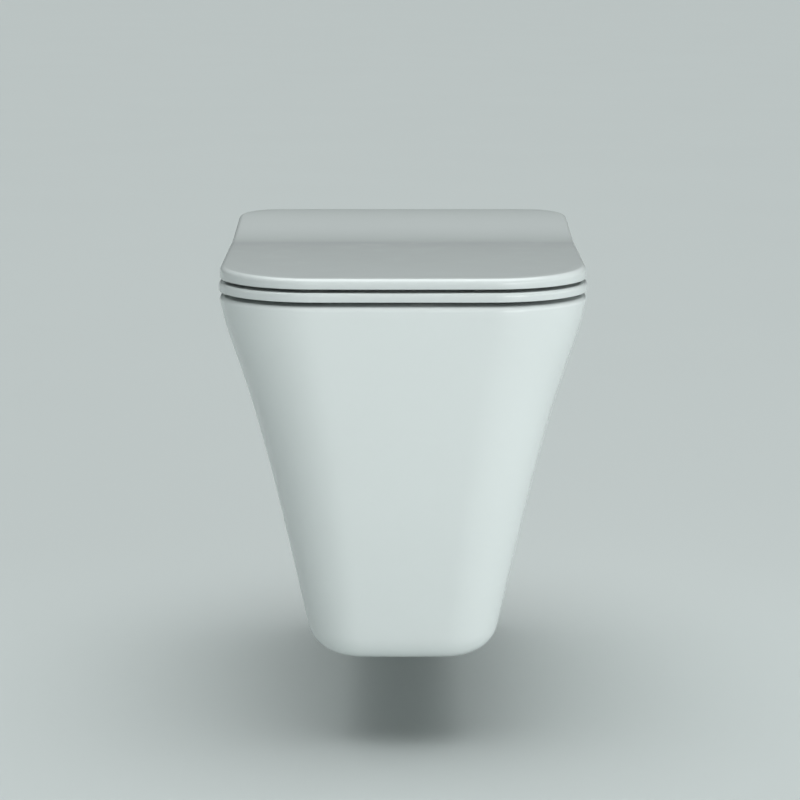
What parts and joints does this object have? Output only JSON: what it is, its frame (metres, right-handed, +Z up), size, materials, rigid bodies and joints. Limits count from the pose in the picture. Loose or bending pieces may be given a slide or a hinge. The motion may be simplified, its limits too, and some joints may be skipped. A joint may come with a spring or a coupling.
{
  "type": "wall hung toilet",
  "caption": "Wall hung toilet with a tapering glazed pan, a closed slow closing seat and lid on chrome hinges, hidden wall fixings, flush inlet and soil outlet.",
  "frame": {"origin": "midway between the two wall studs, on the wall face", "axes": "+Z up, +Y into the wall, so the front of the pan faces -Y, +X to the right of someone who faces the toilet"},
  "size_m": [0.3566, 0.588, 0.3981],
  "materials": {
    "glazed_ware": "gloss",
    "duroplast": "gloss",
    "white_plastic": "satin",
    "chrome": "polished",
    "plated_steel": "satin",
    "brass": "satin",
    "black_rubber": "matte",
    "soft_clear": "satin",
    "nylon": "satin",
    "pipe_plastic": "satin"
  },
  "bodies": {
    "pan": {"pan": "glazed_ware", "stud_bushes": "nylon", "wall_studs": "plated_steel", "fixing_block_left": "plated_steel", "fixing_block_right": "plated_steel", "clamp_screws": "plated_steel", "access_caps": "white_plastic", "inlet_seal": "black_rubber", "flush_pipe": "pipe_plastic", "outlet_seal": "black_rubber", "soil_connector": "pipe_plastic", "hinge_post_left": "chrome", "hinge_post_right": "chrome", "hinge_gaskets": "soft_clear", "hinge_studs": "plated_steel", "expansion_sleeves": "soft_clear", "sleeve_nuts": "brass", "hinge_pin_left": "plated_steel", "hinge_pin_right": "plated_steel", "pin_grub_screws": "plated_steel"},
    "seat": {"seat_ring": "duroplast", "seat_buffers": "soft_clear", "seat_damper": "nylon", "seat_bush": "nylon"},
    "lid": {"lid": "duroplast", "lid_buffers": "soft_clear", "lid_damper": "nylon", "lid_bush": "nylon"}
  },
  "joints": [
    {"name": "seat_hinge", "type": "hinge", "parent": "pan", "child": "seat", "pos_m": [0, -0.07, 0.108], "axis": [-1, 0, 0], "range_deg": [0, 92]},
    {"name": "lid_hinge", "type": "hinge", "parent": "seat", "child": "lid", "pos_m": [0, -0.07, 0.108], "axis": [-1, 0, 0], "range_deg": [0, 95]}
  ]
}
